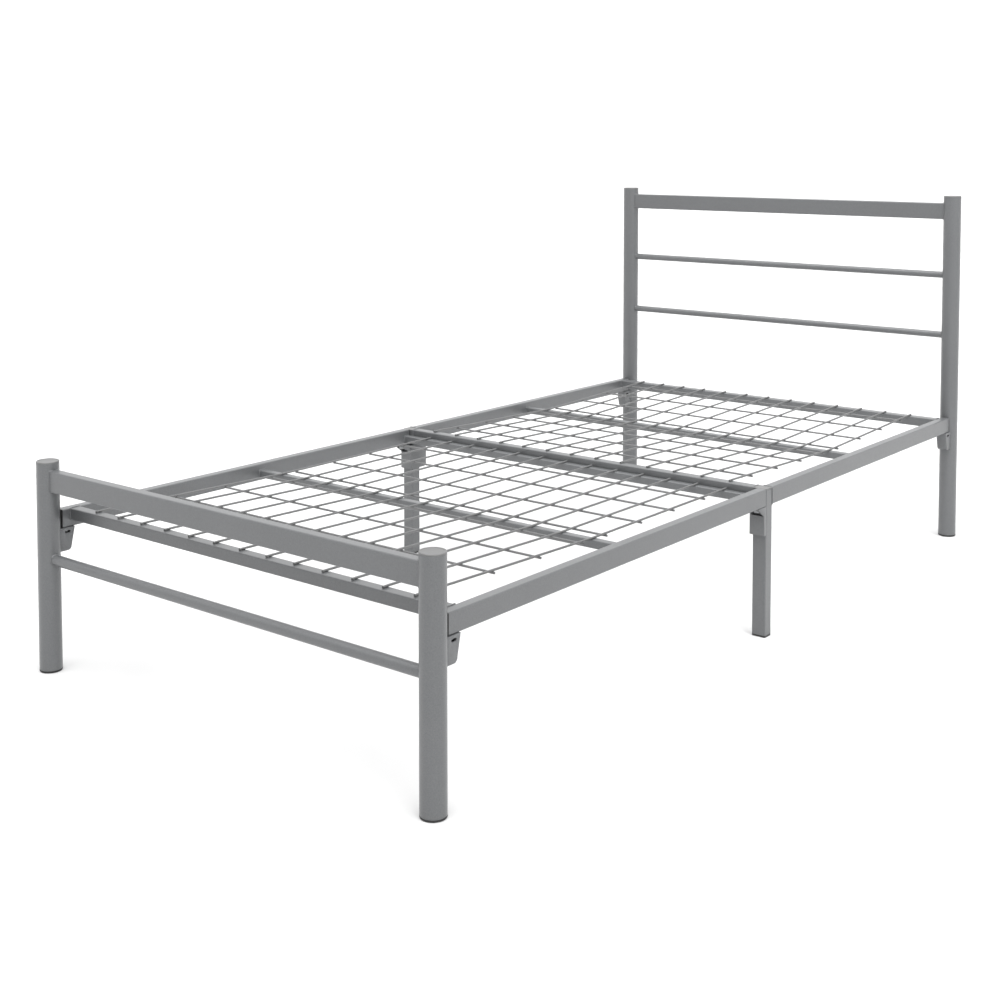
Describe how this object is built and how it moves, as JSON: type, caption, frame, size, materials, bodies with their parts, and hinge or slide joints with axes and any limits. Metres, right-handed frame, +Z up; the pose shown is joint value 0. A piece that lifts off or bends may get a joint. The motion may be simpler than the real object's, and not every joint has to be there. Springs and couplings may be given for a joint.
{
  "type": "metal bed frame",
  "caption": "Single metal bed frame in silver powder coat: barred headboard, low footboard, split wire mesh base on centre legs.",
  "frame": {"origin": "on the floor, at the middle of the bed's width and length", "axes": "+X to the right of a sleeper lying on the back, +Y from the foot end to the headboard, +Z up"},
  "size_m": [0.992, 1.992, 0.85],
  "materials": {
    "silver_coat": "silver-grey powder coat, satin",
    "wire_coat": "silver-grey powder coat, satin",
    "cap_plastic": "silver-grey moulded plastic, satin",
    "black_plastic": "black moulded plastic, matt",
    "zinc": "bright zinc plate"
  },
  "bodies": {
    "root": {"head_post_left": "silver_coat", "head_post_right": "silver_coat", "foot_post_left": "silver_coat", "foot_post_right": "silver_coat", "head_post_cap_left": "cap_plastic", "head_post_cap_right": "cap_plastic", "foot_post_cap_left": "cap_plastic", "foot_post_cap_right": "cap_plastic", "head_glide_left": "black_plastic", "head_glide_right": "black_plastic", "foot_glide_left": "black_plastic", "foot_glide_right": "black_plastic", "headboard_top_rail": "silver_coat", "headboard_upper_bar": "silver_coat", "headboard_lower_bar": "silver_coat", "footboard_top_rail": "silver_coat", "footboard_lower_bar": "silver_coat", "foot_side_rail_left": "silver_coat", "foot_side_rail_right": "silver_coat", "head_side_rail_left": "silver_coat", "head_side_rail_right": "silver_coat", "foot_end_cross_rail": "silver_coat", "foot_mid_cross_rail": "silver_coat", "foot_centre_cross_rail": "silver_coat", "head_centre_cross_rail": "silver_coat", "head_mid_cross_rail": "silver_coat", "head_end_cross_rail": "silver_coat", "centre_leg_left": "silver_coat", "centre_leg_right": "silver_coat", "leg_cap_left": "cap_plastic", "leg_cap_right": "cap_plastic", "leg_glide_left": "black_plastic", "leg_glide_right": "black_plastic", "head_bracket_left": "silver_coat", "head_bracket_right": "silver_coat", "foot_bracket_left": "silver_coat", "foot_bracket_right": "silver_coat", "leg_bracket_left": "silver_coat", "leg_bracket_right": "silver_coat", "corner_bolts": "zinc", "corner_washers": "zinc", "corner_rail_nuts": "zinc", "leg_bolts": "zinc", "leg_washers": "zinc", "leg_rail_nuts": "zinc", "rail_end_plugs": "black_plastic", "foot_mesh_long_wires": "wire_coat", "foot_mesh_cross_wires": "wire_coat", "head_mesh_long_wires": "wire_coat", "head_mesh_cross_wires": "wire_coat"}
  },
  "joints": []
}
